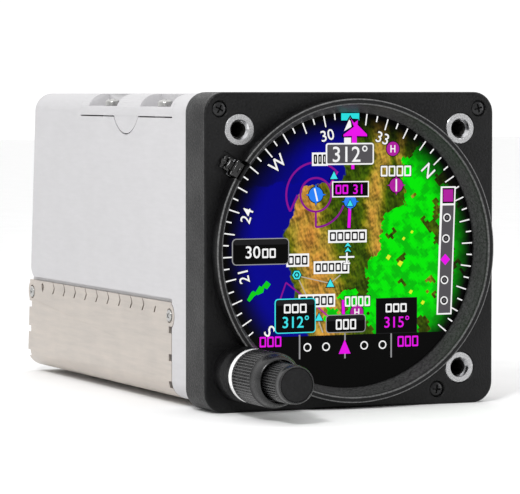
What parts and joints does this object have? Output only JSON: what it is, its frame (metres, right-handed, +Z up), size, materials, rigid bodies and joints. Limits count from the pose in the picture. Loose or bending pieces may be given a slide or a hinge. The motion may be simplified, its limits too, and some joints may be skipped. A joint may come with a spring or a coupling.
{
  "type": "panel-mounted round display navigation instrument",
  "caption": "Panel-mounted flight navigation instrument: square bezel with a round lit map display, concentric push knob, threaded corner inserts and a deep sheet-metal chassis.",
  "frame": {"origin": "centre of the round display and of the panel hole pattern, on the bezel's flat panel face", "axes": "+X to the pilot's right, +Y back into the panel along the chassis, +Z up; the display faces -Y"},
  "size_m": [0.0824, 0.1742, 0.082],
  "materials": {
    "bezel_black": "satin black coated casting, fine grain",
    "insert_steel": "machined steel thread insert",
    "black_screw": "black oxide",
    "display_glass": "bonded cover glass over the lit display, drawn opaque",
    "seal_rubber": "matt seal",
    "touch_film": "touch layer",
    "lcd_layer": "display panel",
    "backlight_white": "backlight housing",
    "sheet_aluminium": "bare bracket sheet",
    "plain_screw": "zinc plated",
    "flex_amber": "flexible printed cable",
    "socket_metal": "stamped socket shell",
    "port_rubber": "semi gloss moulded rubber",
    "knob_black": "anodised dark grey, straight knurl",
    "knob_band": "bright turned band",
    "shaft_brass": "nickel brass shaft",
    "cap_black": "flat cap",
    "plunger_nylon": "nylon plunger",
    "encoder_black": "moulded encoder case",
    "circuit_board": "green solder mask",
    "chassis_paint": "light grey powder coat",
    "cover_nickel": "warm nickel-plated sheet",
    "rear_metal": "clear passivated plate",
    "shield_can": "tinned shield can",
    "module_black": "potted module",
    "battery_wrap": "shrink wrapped cells",
    "lead_red": "insulated lead",
    "connector_shell": "tin plated connector shell",
    "connector_black": "moulded insulator",
    "jack_gold": "gold plated coaxial jack",
    "ptfe_white": "dielectric",
    "coax_brown": "coaxial cable jacket"
  },
  "bodies": {
    "instrument": {"front_bezel": "bezel_black", "insert_top_left": "insert_steel", "insert_top_right": "insert_steel", "insert_bottom_right": "insert_steel", "bezel_screws": "black_screw", "cover_glass": "display_glass", "glass_gasket": "seal_rubber", "touch_panel": "touch_film", "lcd_panel": "lcd_layer", "backlight_unit": "backlight_white", "display_bracket": "sheet_aluminium", "display_bracket_screws": "plain_screw", "display_ribbon": "flex_amber", "service_socket": "socket_metal", "port_cover_anchor": "port_rubber", "encoder_body": "encoder_black", "encoder_bushing": "shaft_brass", "encoder_nut": "plain_screw", "encoder_board": "circuit_board", "encoder_ribbon": "flex_amber", "chassis_shell": "chassis_paint", "top_cover": "chassis_paint", "top_cover_screws": "plain_screw", "lower_cover": "cover_nickel", "lower_cover_screws": "plain_screw", "rear_plate": "rear_metal", "rear_plate_screws": "plain_screw", "main_board": "circuit_board", "board_standoffs": "shaft_brass", "board_screws": "plain_screw", "processor_shield": "shield_can", "gps_receiver": "shield_can", "power_converter": "module_black", "board_connector": "connector_black", "interface_board": "circuit_board", "battery_bracket": "sheet_aluminium", "battery_pack": "battery_wrap", "battery_lead": "lead_red", "data_connector_shell": "connector_shell", "data_connector_insert": "connector_black", "power_connector_shell": "connector_shell", "power_connector_insert": "connector_black", "connector_jack_posts": "plain_screw", "antenna_jack": "jack_gold", "antenna_jack_insert": "ptfe_white", "antenna_jack_nut": "plain_screw", "antenna_coax": "coax_brown"},
    "outer_knob": {"outer_knob": "knob_black", "outer_knob_ring": "knob_band", "outer_shaft": "shaft_brass", "knob_grub_screw": "black_screw"},
    "push_carriage": {"push_plunger": "plunger_nylon"},
    "inner_knob": {"inner_knob": "knob_black", "inner_knob_cap": "cap_black", "inner_shaft": "shaft_brass"},
    "port_cover": {"port_cover": "port_rubber"}
  },
  "joints": [
    {"name": "outer_knob_turn", "type": "hinge", "parent": "instrument", "child": "outer_knob", "pos_m": [-0.03143, 0, -0.0308], "axis": [0, -1, 0], "continuous": true},
    {"name": "push_slide", "type": "slide", "parent": "instrument", "child": "push_carriage", "axis": [0, 1, 0], "range_m": [0, 0.0006], "stiffness_N_per_m": 800, "springref_m": -0.0005},
    {"name": "inner_knob_turn", "type": "hinge", "parent": "push_carriage", "child": "inner_knob", "pos_m": [-0.03143, 0, -0.0308], "axis": [0, -1, 0], "continuous": true},
    {"name": "port_cover_swing", "type": "hinge", "parent": "instrument", "child": "port_cover", "pos_m": [-0.03481, -0.0009, 0.0226], "axis": [-0.5446, 0, -0.8387], "range_deg": [0, 100], "stiffness_Nm_per_rad": 0.0003}
  ]
}
